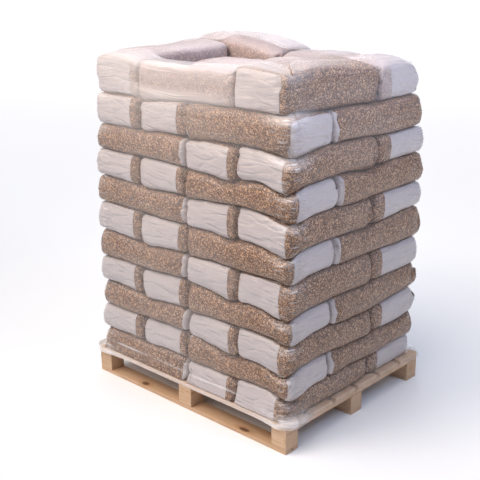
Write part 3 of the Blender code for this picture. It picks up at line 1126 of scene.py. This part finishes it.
def sack_finish():
    """Clear film over pellets, with bare white film at the ends, and dust with a painted sheen on the top
    layer.
    """
    sack = Finish("filled_sack", Coat_Weight=0.45, Coat_Roughness=0.42, Coat_IOR=1.5, IOR=1.45)
    height, shade = pellets(sack)
    # Painted shade: gap is 0 down between the pellets, where the wood turns dark and the white ends turn
    # brownish
    gap = height.step(0.0, 0.55)
    clumps = sack.noise(75.0, 3.0, 0.7)
    cloudy = sack.noise(11.0, 4.0, 0.6)
    wood = sack.shades(shade, PELLET_SHADES)
    wood = sack.mix(sack.noise(7.0) * 0.30, wood, (0.19, 0.11, 0.07))
    # Painted shade between the pellets
    wood = sack.mix(gap, (0.045, 0.02, 0.012), wood)
    wood = sack.mix(clumps.step(0.42, 0.70) * 0.40, wood, (0.13, 0.07, 0.04))
    wood = sack.mix(cloudy.step(0.40, 0.78) * 0.06, wood, (0.42, 0.31, 0.25))
    # Dust and painted sheen: the top layer's sacks are whitened, which also lightens their shade, and more
    # so where they face up
    dust_and_sheen_share = sack.attribute("dusty") * (sack.facing_up().step(0.2, 0.9) * 0.26 + 0.36)
    wood = sack.mix(dust_and_sheen_share, wood, (0.66, 0.60, 0.63))

    wavy = (sack.noise(9.0, 1.0) - 0.5) * 0.02
    inner = (sack.attribute("from_end") + wavy).step(PANEL_REACH - PANEL_EDGE, PANEL_REACH + PANEL_EDGE)
    unwrapped = sack.attribute("from_wrapped_end").step(WRAP_WIDTH - PANEL_EDGE, WRAP_WIDTH + PANEL_EDGE)
    white = (1 - inner) * sack.attribute("past_strips").step(-PANEL_EDGE, PANEL_EDGE)
    white = white.math("MAXIMUM", 1 - unwrapped)
    cream = sack.mix(sack.noise(6.0, 2.0), (0.53, 0.47, 0.455), (0.45, 0.40, 0.405))
    # Painted shade: the white ends take a darker, brownish tone over the gaps between the pellets
    cream = sack.mix((1 - gap) * 0.07, cream, (0.45, 0.38, 0.33))

    creases = sack.noise((7, 7, 36))
    folds = abs(sack.noise((6, 6, 20), 1.0) - 0.5).step(0.0, 0.09)
    creased = height * 0.16 + (creases * 5.5 + folds * 1.1)
    sack.bump(sack.blend(white, height + creases * 1.4, creased), 0.0022)
    sack.output(Base_Color=sack.mix(white, wood, cream), Roughness=sack.blend(white, 0.50, 0.40))
    return sack.material


def film_finish():
    """Clear film that is seen by its haze, by painted highlights on its streaks, on its tight creases at the
    corners and along a level crease, and by a painted sheen where it faces up.
    """
    film = Finish("stretch_film", Roughness=0.28, IOR=1.5)
    along, up, haze = [film.attribute(name) for name in ("film_along", "film_up", "haze")]
    rising = film.noise(3.0, 2.0)
    sheet = film.node("ShaderNodeCombineXYZ", along, 0, up + rising * 0.05).outputs[0]
    fine = film.noise((2.2, 1, 260), 3.0, 0.6, sheet)
    broad = film.noise((1.3, 1, 45), 2.0, vector=sheet)
    short = film.noise((16, 1, 170), 2.0, 0.6, sheet)
    patch = film.noise(4.0)
    # Painted highlights: the film is whitened along its streaks and its short creases at the corners
    streak_highlights = fine.step(0.50, 0.74) * patch.step(0.35, 0.65)
    creased = short.step(0.53, 0.62) * film.attribute("corner")
    # Painted highlight: a whitish line along the level crease low on the -Y side
    from_crease = abs(up + rising * 0.03 - CREASE_HEIGHT)
    crease_highlight = (1 - from_crease.step(0.001, 0.009)) * patch.step(0.30, 0.60) * film.attribute("front")
    # Painted sheen where the film faces upwards
    sheen = film.facing_up().step(0.06, 0.50) * film.attribute("sheen") * (fine * 1.3 + 0.35)
    alpha = haze * (broad * 0.75 + 0.62) + streak_highlights * (haze + 0.10) + creased * 0.38 + crease_highlight * 0.40 + sheen
    film.bump(fine + broad + creased * 1.2, 0.0018)
    film.output(
        Alpha=alpha.math("MINIMUM", 0.9),
        Base_Color=film.mix(broad, (0.93, 0.88, 0.86), (0.97, 0.95, 0.95)),
    )
    return film.material


def pine_finish(name, axis, seed, knots):
    """Sawn pine with its grain along x or y: growth rings round a pith beside the board, and knots."""
    pine = Finish(name, IOR=1.5)
    random = np.random.default_rng(seed)
    shift = tuple(random.uniform(-3, 3, 3))
    along = pine.placed((1, 1, 1), (0, 0, -math.pi / 2 * axis))
    moved = pine.placed((1, 1, 1), shift=shift, vector=along)
    distance = pine.cells(pine.placed((3.2, 9.0, 9.0), vector=moved), 0.9)[0]
    knot = 1 - distance.step(0.055, 0.085)
    near_knot = 1 - distance.step(0.06, 0.35)
    for place, size in knots:
        there = pine.placed([1 / value for value in size], shift=[-value for value in place])
        length = pine.node("ShaderNodeVectorMath", there, operation="LENGTH")
        away = Number(pine, length.outputs["Value"])
        knot = knot.math("MAXIMUM", 1 - away.step(0.7, 1.15))
        near_knot = near_knot.math("MAXIMUM", 1 - away.step(1.0, 2.6))

    pith = random.uniform(-0.03, 0.03, 2) + random.choice([-1, 1], 2) * np.array([0.03, 0.07])
    across, upward = pine.parts(along)[1:]
    across = across + float(pith[0] - random.uniform(-0.3, 0.3))
    upward = upward + float(pith[1] - 0.08)
    bent = pine.noise((2.2, 9, 9), 2.0, vector=moved)
    radius = (across * across + upward * upward).math("SQRT") + bent * 0.030 + near_knot * 0.012
    ring = (radius * (1 / RING_SPACING)).math("FRACT")
    late = ring.step(0.35, 0.9) * (1 - ring.step(0.93, 1.0))
    fibre = pine.noise((9, 420, 420), 3.0, 0.6, moved)
    patch = pine.noise((1.6, 7, 7), vector=moved)

    colour = pine.mix(patch, (0.66, 0.455, 0.30), (0.54, 0.35, 0.21))
    colour = pine.mix(late * 0.42, colour, (0.40, 0.23, 0.12))
    colour = pine.mix(fibre.step(0.45, 0.85) * 0.30, colour, (0.34, 0.21, 0.12))
    colour = pine.mix(near_knot * 0.45, colour, (0.42, 0.22, 0.09))
    colour = pine.mix(knot, colour, (0.13, 0.06, 0.03))
    pine.bump(fibre * 0.7 + late * 0.5, 0.0006)
    pine.output(Base_Color=colour, Roughness=pine.blend(fibre, 0.55, 0.78))
    return pine.material


def finish_pallet():
    """The pallet keeps its CAD solids, each with a board's own grain."""
    axes = {"bottom_runner": 0, "block": 0, "cross_board": 1, "deck_board": 0}
    for number, (name, node) in enumerate(sorted(bpy.data.objects.items())):
        kind = next((kind for kind in axes if name.startswith(kind + "_")), None)
        if kind:
            knots = [(place, size) for board, place, size in KNOTS if board == name]
            material = pine_finish(f"pine_{name}", axes[kind], number, knots)
            node.data.materials.clear()
            node.data.materials.append(material)


def make_camera():
    data = bpy.data.cameras.new("camera")
    data.lens = CAMERA_LENS
    data.sensor_width = SENSOR_WIDTH
    camera = bpy.data.objects.new("camera", data)
    camera.location = CAMERA_PLACE
    level = math.cos(CAMERA_PITCH)
    ahead = Vector((math.cos(CAMERA_YAW) * level, math.sin(CAMERA_YAW) * level, -math.sin(CAMERA_PITCH)))
    camera.rotation_euler = ahead.to_track_quat("-Z", "Y").to_euler()
    bpy.context.scene.collection.objects.link(camera)
    bpy.context.scene.camera = camera


def make_light(name, kind, strength, colour, place, target, **settings):
    data = bpy.data.lights.new(name, kind)
    data.energy = strength
    data.color = colour
    for key, value in settings.items():
        setattr(data, key, value)
    light = bpy.data.objects.new(name, data)
    light.location = place
    light.rotation_euler = (Vector(target) - Vector(place)).to_track_quat("-Z", "Y").to_euler()
    bpy.context.scene.collection.objects.link(light)
    return light


def make_studio():
    mesh = bpy.data.meshes.new("floor")
    half = FLOOR_SIZE / 2
    corners = [(-half, -half, 0), (half, -half, 0), (half, half, 0), (-half, half, 0)]
    mesh.from_pydata(corners, [], [(0, 1, 2, 3)])
    mesh.materials.append(Finish("pale_floor", Base_Color=FLOOR_COLOUR, Roughness=0.85).material)
    floor = bpy.data.objects.new("floor", mesh)
    bpy.context.scene.collection.objects.link(floor)

    world = bpy.data.worlds.new("studio")
    world.use_nodes = True
    background = world.node_tree.nodes["Background"]
    background.inputs["Color"].default_value = (*SKY_COLOUR, 1)
    background.inputs["Strength"].default_value = SKY_STRENGTH
    bpy.context.scene.world = world
    make_light("sun", "SUN", *SUN, angle=SUN_ANGLE)
    for name, box in SOFT_BOXES.items():
        make_light(name, "AREA", *box, size=BOX_SIZE, spread=BOX_SPREAD)
    backdrop = make_light("backdrop", "AREA", *BACKDROP, size=BACKDROP_SIZE)
    backdrop.visible_camera = False
    bpy.context.scene.view_settings.view_transform = "Standard"


def main():
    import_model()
    make_camera()
    sacks = make_sacks(sack_finish())
    make_film(film_finish(), sacks)
    finish_pallet()
    make_studio()


main()
